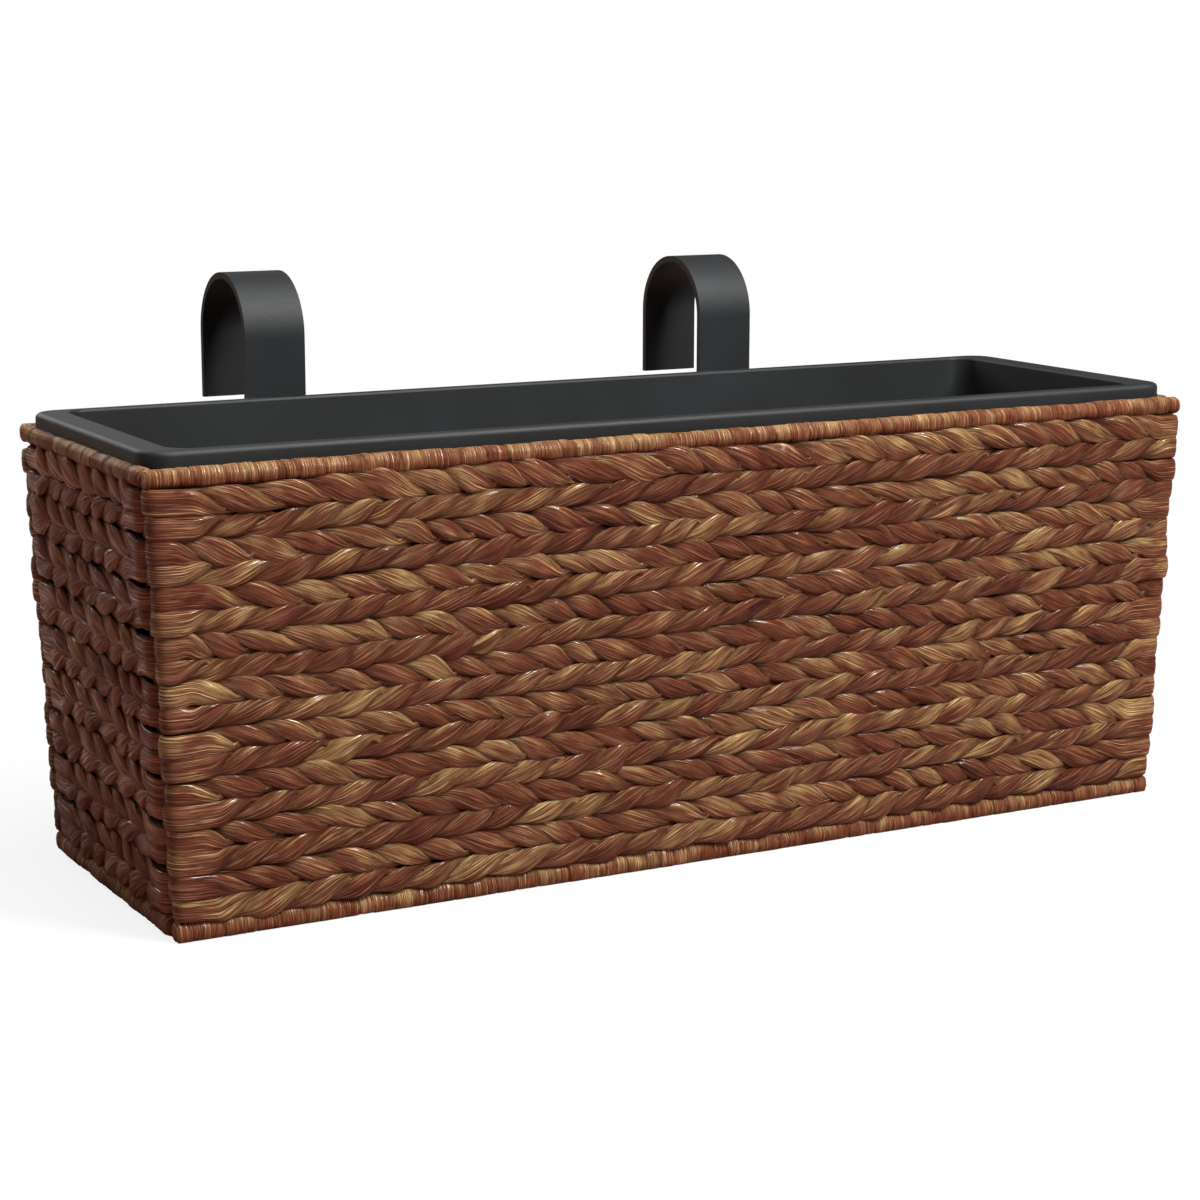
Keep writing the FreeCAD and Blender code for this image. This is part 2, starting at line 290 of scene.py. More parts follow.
# ---- finishes ----------------------------------------
@dataclass(frozen=True)
class PlantFibre:
    """Dried plant strands, stained brown: fine fibres along the strand, a tone for each turn, and painted
    light and shade.
    """

    name: str
    deep: Colour = linear(56, 19, 11)
    red: Colour = linear(107, 53, 35)
    brown: Colour = linear(126, 79, 54)
    tan: Colour = linear(190, 158, 104)
    # Painted highlight: pale glints laid on raised fibres.
    painted_glint: Colour = linear(216, 182, 132)
    # Painted shade, laid into crevices by the depth attribute.
    crevice_shade: Colour = linear(26, 10, 7)
    fibre_pitch: float = 0.38       # distance from fibre to fibre
    fibre_run: float = 22.0         # length over which a fibre changes
    relief_mm: float = 2.4
    tone_share: float = 0.34        # how much the tone of a turn, the fibres and patches count
    streak_share: float = 0.9
    patch_share: float = 0.8
    # Painted shade in the creases and fine lines between fibres.
    crease_shade: float = 0.5         # how dark the fine lines between fibres are
    roughness: float = 0.56
    fibre_polish: float = 0.2       # how much smoother the raised fibres are
    refraction: float = 1.2
    glint: float = 0.8              # strength of the fine glints on raised fibres
    glint_roughness: float = 0.17

    def make(self) -> bpy.types.Material:
        """Build the material. It reads the UV map "strand" and three attributes of the mesh.

        Returns:
            The material.
        """
        shader = Shader(self.name)
        along, across, _ = shader.uv("strand")
        tone = shader.attribute("tone")
        seed = shader.attribute("seed")
        depth = shader.attribute("depth")
        run = along * (MAP_UNIT / self.fibre_run)
        pitch = across * (MAP_UNIT / self.fibre_pitch)
        streaks = shader.noise(run, pitch, seed, detail=1.0, rough=0.6)
        creases = shader.noise(run * 0.8, pitch * 0.5, seed + 31.0, detail=1.0)
        patches = shader.noise(along * 0.7, across * 1.1, seed + 63.0, detail=2.0)
        crease = 1.0 - (creases - 0.5).maths("ABSOLUTE").ramp(0.0, 0.04)
        line = 1.0 - (streaks - 0.47).maths("ABSOLUTE").ramp(0.0, 0.06)
        shade = 0.5 + (tone - 0.5) * self.tone_share + (streaks - 0.5) * self.streak_share
        shade = shade + (patches - 0.5) * self.patch_share
        stops = [(0.10, self.deep), (0.34, self.red), (0.56, self.brown), (0.88, self.tan)]
        colour = shader.colours(shade, stops)
        # Painted shade: the creases and fine lines between fibres are darkened towards the deep colour.
        colour = shader.mix((crease * 1.6 + line * 0.7).clamp() * self.crease_shade, colour, self.deep)
        # Painted highlight: pale glints on raised fibres, stronger where the tone and its painted top light
        # are lighter.
        colour = shader.mix(streaks.ramp(0.62, 0.72) * (tone * 0.45).clamp(), colour, self.painted_glint)
        # Painted shade: the deeper a point lies in a crevice, the darker it is painted.
        colour = shader.mix(depth.power(1.3).clamp(), colour, self.crevice_shade)
        height = streaks * 0.35 + creases * 0.5 - crease * 0.22 - line * 0.1
        rough = self.roughness - streaks.ramp(0.5, 0.7) * self.fibre_polish
        shader.finish(height, self.relief_mm, Base_Color=colour, Roughness=rough, IOR=self.refraction,
                      Coat_Weight=streaks.ramp(0.55, 0.66) * self.glint * (1.0 - depth),
                      Coat_Roughness=self.glint_roughness)
        return shader.material


@dataclass(frozen=True)
class MouldedPlastic:
    """Matt charcoal plastic with the fine grain of a mould."""

    name: str = "moulded_plastic"
    body: Colour = linear(17, 19, 20)
    worn: Colour = linear(24, 28, 30)
    cloud: float = 14.0             # clouds and grains in each metre
    grain: float = 900.0
    grain_depth_mm: float = 0.02
    roughness: float = 0.56
    specular: float = 0.34

    def make(self) -> bpy.types.Material:
        """Build the material on Object coordinates.

        Returns:
            The material.
        """
        shader = Shader(self.name)
        x, y, z = shader.place()
        clouds = shader.noise(x * self.cloud, y * self.cloud, z * self.cloud, detail=3.0)
        grain = shader.noise(x * self.grain, y * self.grain, z * self.grain, detail=1.0)
        colour = shader.mix(clouds.ramp(0.35, 0.75), self.body, self.worn)
        rough = self.roughness + (clouds - 0.5) * 0.16
        shader.finish(grain, self.grain_depth_mm, Base_Color=colour, Roughness=rough,
                      Specular_IOR_Level=self.specular)
        return shader.material


@dataclass(frozen=True)
class PowderCoat:
    """Satin powder coat with its faint orange peel."""

    name: str = "powder_coat"
    body: Colour = linear(22, 25, 27)
    worn: Colour = linear(28, 31, 33)
    cloud: float = 25.0             # clouds and dimples in each metre
    peel: float = 520.0
    peel_depth_mm: float = 0.03
    roughness: float = 0.56
    specular: float = 0.3

    def make(self) -> bpy.types.Material:
        """Build the material on Object coordinates.

        Returns:
            The material.
        """
        shader = Shader(self.name)
        x, y, z = shader.place()
        clouds = shader.noise(x * self.cloud, y * self.cloud, z * self.cloud, detail=2.0)
        peel = shader.noise(x * self.peel, y * self.peel, z * self.peel, detail=2.0)
        colour = shader.mix(clouds.ramp(0.4, 0.8), self.body, self.worn)
        rough = self.roughness + (peel - 0.5) * 0.1
        shader.finish(peel, self.peel_depth_mm, Base_Color=colour, Roughness=rough,
                      Specular_IOR_Level=self.specular)
        return shader.material


@dataclass(frozen=True)
class LacqueredWire:
    """Dark brown lacquer on steel wire, with thin spots."""

    name: str = "lacquered_wire"
    lacquer: Colour = linear(44, 28, 20)
    thin: Colour = linear(74, 50, 36)
    spot: float = 160.0             # thin spots in each metre
    spot_depth_mm: float = 0.04
    roughness: float = 0.45

    def make(self) -> bpy.types.Material:
        """Build the material on Object coordinates.

        Returns:
            The material.
        """
        shader = Shader(self.name)
        x, y, z = shader.place()
        spots = shader.noise(x * self.spot, y * self.spot, z * self.spot, detail=3.0, rough=0.6)
        colour = shader.mix(spots.ramp(0.5, 0.72), self.lacquer, self.thin)
        rough = self.roughness + spots * 0.15
        shader.finish(spots, self.spot_depth_mm, Base_Color=colour, Roughness=rough)
        return shader.material


# ---- meshes ----------------------------------------
@dataclass
class Skin:
    """The surface of one closed strand: rings of points, with what the finish reads from them."""

    points: np.ndarray            # rings + 1 by around + 1 places, in metres
    along: np.ndarray             # along the fibres, in millimetres, at each point
    across: np.ndarray            # across the fibres, in millimetres, at each point
    # The tone carries painted light on the upper sides of strands and rods, and the depth sets where the
    # finish paints shade.
    tone: np.ndarray              # from 0, dark, to 1, light, at each point
    depth: np.ndarray             # from 0, in the open, to 1, in a crevice, at each point
    seed: float


class Weaver:
    """Turns skins into one mesh object."""

    bake_bands = 14                 # bands of the map for the baked finish, and how full they are
    band_fill = 0.98
    row_fill = 0.94

    def __init__(self, name: str) -> None:
        """Start a piece of that name."""
        self.name = name
        self.skins: list[Skin] = []

    def _grid(self) -> bpy.types.Mesh:
        """Lay one flat grid for each skin, in their order.

        Returns:
            The mesh of all the grids.
        """
        shape = bmesh.new()
        for skin in self.skins:
            rings, around = skin.points.shape[0] - 1, skin.points.shape[1] - 1
            bmesh.ops.create_grid(shape, x_segments=around, y_segments=rings, size=0.5)
        mesh = bpy.data.meshes.new(self.name)
        shape.to_mesh(mesh)
        shape.free()
        return mesh

    def make(self, material: bpy.types.Material) -> bpy.types.Object:
        """Shape the grids into the skins and close them.

        Args:
            material: The finish of the whole piece.

        Returns:
            The object, at the origin, with its place in its mesh.
        """
        mesh = self._grid()
        shapes = [skin.points.shape[:2] for skin in self.skins]
        mesh.vertices.foreach_set("co", np.concatenate([s.points.reshape(-1) for s in self.skins]))
        for name in ("tone", "depth", "seed"):
            layer = mesh.attributes.new(name, "FLOAT", "POINT")
            parts = [np.broadcast_to(getattr(skin, name), shape).reshape(-1)
                     for skin, shape in zip(self.skins, shapes)]
            layer.data.foreach_set("value", np.concatenate(parts))
        self._map(mesh, shapes)
        self._close(mesh)
        mesh.materials.append(material)
        mesh.polygons.foreach_set("use_smooth", np.ones(len(mesh.polygons), dtype=bool))
        piece = bpy.data.objects.new(self.name, mesh)
        bpy.context.collection.objects.link(piece)
        return piece

    def _map(self, mesh: bpy.types.Mesh, shapes: list[tuple[int, int]]) -> None:
        """Write the map that the finish reads, and a second one whose faces don't overlap.

        Args:
            mesh: The mesh of all the grids.
            shapes: Number of points along and round each skin.
        """
        corner = np.empty(len(mesh.loops), dtype=np.int64)
        mesh.loops.foreach_get("vertex_index", corner)
        ring = np.concatenate([np.repeat(np.arange(r), a) for r, a in shapes])
        side = np.concatenate([np.tile(np.arange(a), r) for r, a in shapes])
        starts = np.cumsum([0] + [r for r, _ in shapes])[:-1]
        first = np.concatenate([np.full(r * a, s) for (r, a), s in zip(shapes, starts)])
        around = np.concatenate([np.full(r * a, a - 1) for r, a in shapes])
        strand = np.stack([np.concatenate([skin.along.reshape(-1) for skin in self.skins]),
                           np.concatenate([skin.across.reshape(-1) for skin in self.skins])], axis=-1)
        layer = mesh.uv_layers.new(name="strand")
        layer.data.foreach_set("uv", (strand[corner] * (1 / MAP_UNIT)).reshape(-1))
        total = sum(r for r, _ in shapes)
        per_band = math.ceil(total / self.bake_bands)
        corners = ring[corner].reshape(-1, 4)
        place = first[corner].reshape(-1, 4) + corners
        band = place.min(axis=1, keepdims=True) // per_band
        flat = np.empty((len(corner), 2))
        flat[:, 0] = ((place - band * per_band) / per_band * self.band_fill).reshape(-1)
        share = side[corner] / around[corner] * self.row_fill
        flat[:, 1] = (np.repeat(band[:, 0], 4) + share) / self.bake_bands
        bake = mesh.uv_layers.new(name="OFBake")
        bake.data.foreach_set("uv", flat.reshape(-1))

    @staticmethod
    def _close(mesh: bpy.types.Mesh) -> None:
        """Join each skin's seam and ends, and point its faces outwards.

        Args:
            mesh: The mesh of all the skins.
        """
        shape = bmesh.new()
        shape.from_mesh(mesh)
        bmesh.ops.remove_doubles(shape, verts=shape.verts, dist=1e-6)
        bmesh.ops.recalc_face_normals(shape, faces=shape.faces)
        shape.to_mesh(mesh)
        shape.free()


def eased(share: np.ndarray) -> np.ndarray:
    """A share from 0 to 1 with a gentle start and end."""
    return share * share * (3 - 2 * share)


def between(values: np.ndarray, place: np.ndarray, hold: float = 0.36, ease: float = 0.28) -> np.ndarray:
    """Hold each value near its whole number and ease over to the next, in a loop.

    Args:
        values: The value of each whole number.
        place: Places among the whole numbers.
        hold: How far past a whole number its value holds.
        ease: Length of the change to the next value.

    Returns:
        The value at each place.
    """
    low = np.floor(place).astype(int)
    share = eased(np.clip((place - low - hold) / ease, 0, 1))
    count = len(values)
    return values[low % count] * (1 - share) + values[(low + 1) % count] * share


def drift(random: np.random.Generator, along: np.ndarray, step: float, columns: int = 1) -> np.ndarray:
    """Smooth noise along a closed run, from -1 to 1.

    Args:
        random: Source of the noise.
        along: Places along the run, in millimetres.
        step: About how far apart the noise's own values lie.
        columns: How many noises to make.

    Returns:
        The noise, with a row for each place and a column for each noise.
    """
    total = along[-1] - along[0]
    count = max(4, round(total / step))
    knots = random.uniform(-1, 1, (count, columns))
    place = (along - along[0]) / total * count
    low = np.floor(place).astype(int)
    share = eased((place - low)[:, None])
    return knots[low % count] * (1 - share) + knots[(low + 1) % count] * share


# ---- walls ----------------------------------------
class Wall(Enum):
    """The four woven walls, each with how far it is turned about Z from the back."""

    FRONT = ("front", 180.0)
    BACK = ("back", 0.0)
    LEFT = ("left", 90.0)
    RIGHT = ("right", -90.0)

    @property
    def label(self) -> str:
        """The wall's name in the names of its pieces."""
        return self.value[0]

    @property
    def is_long(self) -> bool:
        """Whether it is the front or the back."""
        return self in (Wall.FRONT, Wall.BACK)


@dataclass(frozen=True)
class Frame:
    """Where the stakes and rods of the wire frame stand, as the construction has them."""

    bottom_rod_z: float = 4.5
    height: float = 190.0
    long_plane: tuple[float, float] = (78.0, 81.5)
    side_plane: tuple[float, float] = (251.7, 260.5)
    long_post: tuple[float, float] = (250.5, 259.3)
    side_post: tuple[float, float] = (66.8, 70.3)
    weave_low_z: float = 10.0
    weave_high_z: float = 189.8
    back_weave_high_z: float = 186.4
    courses: int = 9

    def lean(self, wall: Wall) -> float:
        """Radians by which a wall leans outwards."""
        low, high = self.long_plane if wall.is_long else self.side_plane
        return math.atan2(high - low, self.height)

    def slope(self, wall: Wall, z: float) -> float:
        """Distance up the wall from the middle of the bottom rods to the height z."""
        return (z - self.bottom_rod_z) / math.cos(self.lean(wall))

    def post(self, wall: Wall, v: float) -> float:
        """Half the distance between the end posts, v up the wall."""
        low, high = self.long_post if wall.is_long else self.side_post
        return low + (high - low) * v / self.slope(wall, self.bottom_rod_z + self.height)

    def course_middles(self, wall: Wall) -> tuple[list[float], float]:
        """Space the courses evenly up a wall.

        Args:
            wall: The wall.

        Returns:
            Height of each course up the wall, and how far apart they are.
        """
        low = self.slope(wall, self.weave_low_z)
        high_z = self.back_weave_high_z if wall is Wall.BACK else self.weave_high_z
        pitch = (self.slope(wall, high_z) - low) / self.courses
        return [low + (i + 0.5) * pitch for i in range(self.courses)], pitch

    def stand(self, wall: Wall, points: np.ndarray, middle_y: float) -> np.ndarray:
        """Lean and turn points of the flat wall to its side of the box.

        Args:
            wall: The wall.
            points: Places u, n and v on the flat wall, in millimetres.
            middle_y: Where the middle of the box lies.

        Returns:
            The points in metres, in the frame of the construction.
        """
        u, n, v = points[..., 0], points[..., 1], points[..., 2]
        lean = self.lean(wall)
        plane = self.long_plane[0] if wall.is_long else self.side_plane[0]
        x = -u
        y = n * math.cos(lean) + v * math.sin(lean) + plane
        z = v * math.cos(lean) - n * math.sin(lean) + self.bottom_rod_z
        turn = math.radians(wall.value[1])
        world = np.stack([x * math.cos(turn) - y * math.sin(turn),
                          x * math.sin(turn) + y * math.cos(turn) + middle_y, z], axis=-1)
        return world * MM


@dataclass(frozen=True)
class Twining:
    """Sizes of a row: two strands twisted round each other before and behind the stakes."""

    lobe_pitch: float = 20.0
    row_axis: float = 3.2           # middle of a row from the stakes
    swing_out: float = 1.15
    swing_lag: float = 0.65         # a lobe's tip lies on the next lobe's start
    # One twist of a strand in a row whose lobes fall to the right: the turn, in half turns, with the
    # strand's lower and upper edges there. It is before the stakes from -0.5 to 0.5.
    edges: tuple[tuple[float, float, float], ...] = (
        (-1.0, -5.2, 4.8), (-0.8, -3.2, 5.3), (-0.65, 0.4, 5.3), (-0.5, -0.6, 5.4), (-0.3, -2.4, 5.4),
        (-0.1, -4.1, 5.4), (0.05, -5.1, 5.1), (0.2, -5.5, 4.2), (0.4, -5.6, 2.3), (0.6, -5.5, -0.6),
        (0.72, -5.4, -2.4), (0.85, -5.4, 2.4), (1.0, -5.2, 4.8))
    half_thickness: float = 2.0
    hidden_thickness: float = 1.6   # half the thickness of a strand behind the other one
    thickness_spread: float = 0.14
    swell: float = 0.7              # how full a strand's section is: 1 is round, 0 a rectangle
    swell_loss: float = 0.2         # how much fuller it is in an end bundle
    end_bundle: float = 9.0         # length of the straight bundle before an end post
    bundle_limits: tuple[float, float] = (0.2, 1.8)
    end_turn: float = 0.8           # how far the turn at an end lies from its usual, either way
    end_half_height: float = 5.5
    end_blend: float = 8.0
    end_draw: float = 0.3           # how far the rows of a course draw together at its ends
    fibre_twist: float = 0.30       # how far the fibres climb round a strand, for each step along it
    outer_rings: int = 14
    inner_rings: int = 6
    turn_rings: int = 7
    around_out: int = 12
    around_in: int = 4
    wander: float = 0.9             # how far the rows of a wall stray together
    wander_rise: float = 170.0
    ridge: float = 0.42             # height of the ridges along a strand
    ridge_run: float = 13.0
    ridge_loss: float = 0.6         # how much lower they are in an end bundle
    lobe_spread: float = 0.2        # spreads are standard deviations from lobe to lobe
    lobe_limits: tuple[float, float] = (0.65, 1.4)
    size: float = 1.03
    size_spread: float = 0.08
    shift: float = 0.45
    proud: float = 0.3
    # Painted light: the upper edge of a strand is painted paler, as if lit from above.
    painted_top_light: float = 0.28         # how much paler the upper edge of a strand is
    tone_power: float = 1.15        # above 1, more lobes are dark than pale
    tone_run: float = 90.0          # length over which a strand's own tone drifts
    rim_reach: float = 0.9          # how far the first and last rows move towards the rims
    rim_size: float = 1.16
    # These two set the depth by which the finish paints shade between the strands.
    open_reach: float = 4.4         # surfaces further out than this from the stakes are in the open
    crevice_depth: float = 1.9


@dataclass
class TwinedWall:
    """One woven wall: a piece for each course, with its two rows of two strands."""

    wall: Wall
    frame: Frame
    twining: Twining
    finish: bpy.types.Material
    middle_y: float
    random: np.random.Generator

    def __post_init__(self) -> None:
        """Settle how the rows of this wall wander together."""
        self.waves = self.random.uniform(0, 2 * math.pi, 4)
        self.wave_lengths = self.random.uniform(70, 260, 4)

    def wander(self, u: np.ndarray, v: float) -> np.ndarray:
        """How far the rows lie above their true place.

        Args:
            u: Places along the wall.
            v: The row's height up the wall.

        Returns:
            The rise at each place.
        """
        total = np.zeros_like(u)
        for phase, length in zip(self.waves, self.wave_lengths):
            total = total + np.sin(2 * math.pi * (u / length + v / self.twining.wander_rise) + phase)
        return total * self.twining.wander / 3

    def twist(self, half: float, step: float) -> tuple[np.ndarray, np.ndarray, np.ndarray, int]:
        """How the strands of one run turn about the row.

        Args:
            half: Half the length of the run, between the posts.
            step: Distance between rings.

        Returns:
            Places along the run, the turn at each in radians, how flat the strands lie there, and
            the number of lobes.
        """
        t = self.twining
        ends = t.end_bundle * self.random.uniform(*t.bundle_limits, 2)
        middle = 2 * half - ends.sum()
        lobes = max(2, round(middle / t.lobe_pitch))
        widths = 1 + t.lobe_spread * self.random.standard_normal(lobes)
        widths = np.clip(widths, *t.lobe_limits)
        knots = np.concatenate([[0], np.cumsum(widths)]) / widths.sum() * middle - half + ends[0]
        places = np.linspace(-half, half, max(8, round(2 * half / step)) + 1)
        turns = np.interp(places, knots, np.arange(lobes + 1) * math.pi)
        weights = [0.1, 0.2, 0.4, 0.2, 0.1]
        smooth = np.convolve(np.pad(turns, len(weights) // 2, mode="edge"), weights, mode="valid")
        inset = np.minimum(places + half - ends[0], half - ends[1] - places)
        return places, smooth, eased(np.clip(0.5 - inset / t.end_blend, 0, 1)), lobes

    def loop(self, half: float) -> dict[str, np.ndarray]:
        """The whole way of a row: before the stakes, round a post, behind them and round again.

        Args:
            half: Half the distance between the end posts.

        Returns:
            Arrays with a value for each ring: its place u and n, the direction away from the stakes
            side_u and side_n, the turn, how flat the strands lie and the distance along; and the
            number of lobes.
        """
        t = self.twining
        out_u, out_turn, out_flat, lobes = self.twist(half, t.lobe_pitch / t.outer_rings)
        in_u, in_turn, in_flat, in_lobes = self.twist(half, t.lobe_pitch / t.inner_rings)
        in_turn = in_turn * lobes / in_lobes
        start, end = self.random.uniform(-t.end_turn, t.end_turn, 2)
        out_turn = out_turn + np.linspace(start, end, len(out_turn))
        in_turn = in_turn + np.linspace(end, start, len(in_turn))
        arc = np.linspace(0, math.pi, t.turn_rings + 2)[1:-1]
        ones = np.ones_like(arc)
        u = [out_u, half + t.row_axis * np.sin(arc), -in_u, -half - t.row_axis * np.sin(arc)]
        n = [t.row_axis * np.ones_like(out_u), t.row_axis * np.cos(arc),
             -t.row_axis * np.ones_like(in_u), -t.row_axis * np.cos(arc)]
        side_u = [0 * out_u, np.sin(arc), 0 * in_u, -np.sin(arc)]
        side_n = [1 + 0 * out_u, np.cos(arc), -1 + 0 * in_u, -np.cos(arc)]
        first, last = lobes * math.pi, 2 * lobes * math.pi
        turn = [out_turn, (first + end) * ones, first + in_turn, (last + start) * ones]
        flat = [out_flat, ones, in_flat, ones]
        seam = len(out_u) + len(arc) + len(in_u) // 2
        way = {}
        for name, parts in {"u": u, "n": n, "side_u": side_u, "side_n": side_n, "turn": turn,
                            "flat": flat}.items():
            values = np.concatenate(parts)
            round_once = last if name == "turn" else 0.0
            way[name] = np.concatenate([values[seam:], values[:seam + 1] + round_once])
        steps = np.hypot(np.diff(way["u"]), np.diff(way["n"]))
        way["along"] = np.concatenate([[0], np.cumsum(steps)])
        way["lobes"] = np.array(lobes)
        return way

    def strand(self, way: dict[str, np.ndarray], height: float, size: float, rises: bool,
               strand: int) -> Skin:
        """One strand of a row.

        Args:
            way: The row's way, as loop() gives it.
            height: The row's place up the wall.
            size: How tall its lobes are, against the usual.
            rises: Whether its lobes climb to the right, as in the lower row of a course.
            strand: 0 or 1.

        Returns:
            The strand's skin.
        """
        t = self.twining
        random = self.random
        turn = way["turn"] + strand * math.pi
        count = int(way["lobes"])
        place = turn / (2 * math.pi)
        shown = np.clip(np.cos(turn), 0, 1)
        big = between(size + t.size_spread * random.standard_normal(count), place)
        thick = between(1 + t.thickness_spread * random.standard_normal(count), place)
        shift = between(t.shift * random.standard_normal(count), place)
        proud = between(t.proud * random.standard_normal(count), place)
        tone = between(random.uniform(0, 1, count) ** t.tone_power, place)
        slow = drift(random, way["along"], t.tone_run)[:, 0] * 0.5 + 0.5
        out = np.cos(turn - t.swing_lag) * t.swing_out + proud * shown
        flat = way["flat"]
        knots, lower, upper = np.array(t.edges).T
        phase = (turn / math.pi + 1) % 2 - 1
        low = np.interp(phase, knots, lower)
        high = np.interp(phase, knots, upper)
        lift = (low + high) / 2 * (-1 if rises else 1) * (1 - flat)
        half_v = (high - low) / 2 * big * (1 - flat) + t.end_half_height * flat
        draw = flat * t.end_draw * (1 if rises else -1)
        centre_v = height + lift + shift * shown + draw + self.wander(way["u"], height)
        half_n = (t.hidden_thickness + (t.half_thickness - t.hidden_thickness) * shown) * thick
        outer = np.linspace(-90, 90, t.around_out)
        inner = np.linspace(90, 270, t.around_in + 2)[1:-1]
        degrees = [[180.0], inner[inner > 180], outer + 360, inner[inner < 180] + 360, [540.0]]
        around = np.radians(np.concatenate(degrees))
        cosine, sine = np.cos(around), np.sin(around)
        ridges = drift(random, way["along"], t.ridge_run, len(around))
        ridges[:, -1] = ridges[:, 0]
        outside = np.clip(cosine, 0, 1)[None, :] ** 0.5
        ridges = ridges * t.ridge * (1 - t.ridge_loss * flat[:, None]) * outside
        power = t.swell - t.swell_loss * flat[:, None]
        swell = np.sign(cosine)[None, :] * np.abs(cosine)[None, :] ** power
        n_offset = out[:, None] + half_n[:, None] * swell + ridges
        v_place = centre_v[:, None] + half_v[:, None] * sine[None, :]
        points = np.stack([way["u"][:, None] + way["side_u"][:, None] * n_offset,
                           way["n"][:, None] + way["side_n"][:, None] * n_offset, v_place], axis=-1)
        points[-1] = points[0]
        points[:, -1] = points[:, 0]
        girth = np.hypot(np.diff(t.end_half_height * sine), np.diff(t.half_thickness * cosine))
        across = np.tile(np.concatenate([[0], np.cumsum(girth)]), (len(turn), 1))
        along = np.tile(way["along"][:, None], (1, len(around)))
        climb = np.concatenate([[0], np.cumsum(np.diff(way["along"]) * (1 - flat[1:]))]) * t.fibre_twist
        across = across + climb[:, None] * (-1 if rises else 1)
        # How deep a point lies behind the open surface, for the painted shade.
        depth = np.clip((t.open_reach - t.row_axis - n_offset) / t.crevice_depth, 0, 1)
        # Painted light: the tone rises towards each strand's upper edge.
        tone = (0.3 * slow + 0.7 * tone)[:, None] + t.painted_top_light * sine[None, :] * (1 - 0.5 * flat[:, None])
        return Skin(self.frame.stand(self.wall, points, self.middle_y), along, across, tone, depth,
                    float(random.uniform(0, 500)))

    def course(self, index: int, middle: float, pitch: float) -> bpy.types.Object:
        """Weave one course and put it in place of the plain one.

        Args:
            index: Its number from the bottom, from 0.
            middle: Its middle's height up the wall.
            pitch: Its height.

        Returns:
            The woven piece.
        """
        name = f"{self.wall.label}_course_{index + 1}"
        weaver = Weaver(f"{name}_twined")
        t = self.twining
        for rises, side in ((True, -1), (False, 1)):
            height = middle + side * pitch / 4
            at_rim = (index, side) in ((0, -1), (self.frame.courses - 1, 1))
            way = self.loop(self.frame.post(self.wall, height))
            height += side * t.rim_reach * at_rim
            for strand in (0, 1):
                size = t.rim_size if at_rim else t.size
                weaver.skins.append(self.strand(way, height, size, rises, strand))
        piece = weaver.make(self.finish)
        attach(piece, "basket")
        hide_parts(name)
        return piece

    def build(self) -> None:
        """Weave every course of the wall."""
        middles, pitch = self.frame.course_middles(self.wall)
        for index, middle in enumerate(middles):
            piece = self.course(index, middle, pitch)
            LOG.info("%s: %d faces", piece.name, len(piece.data.polygons))


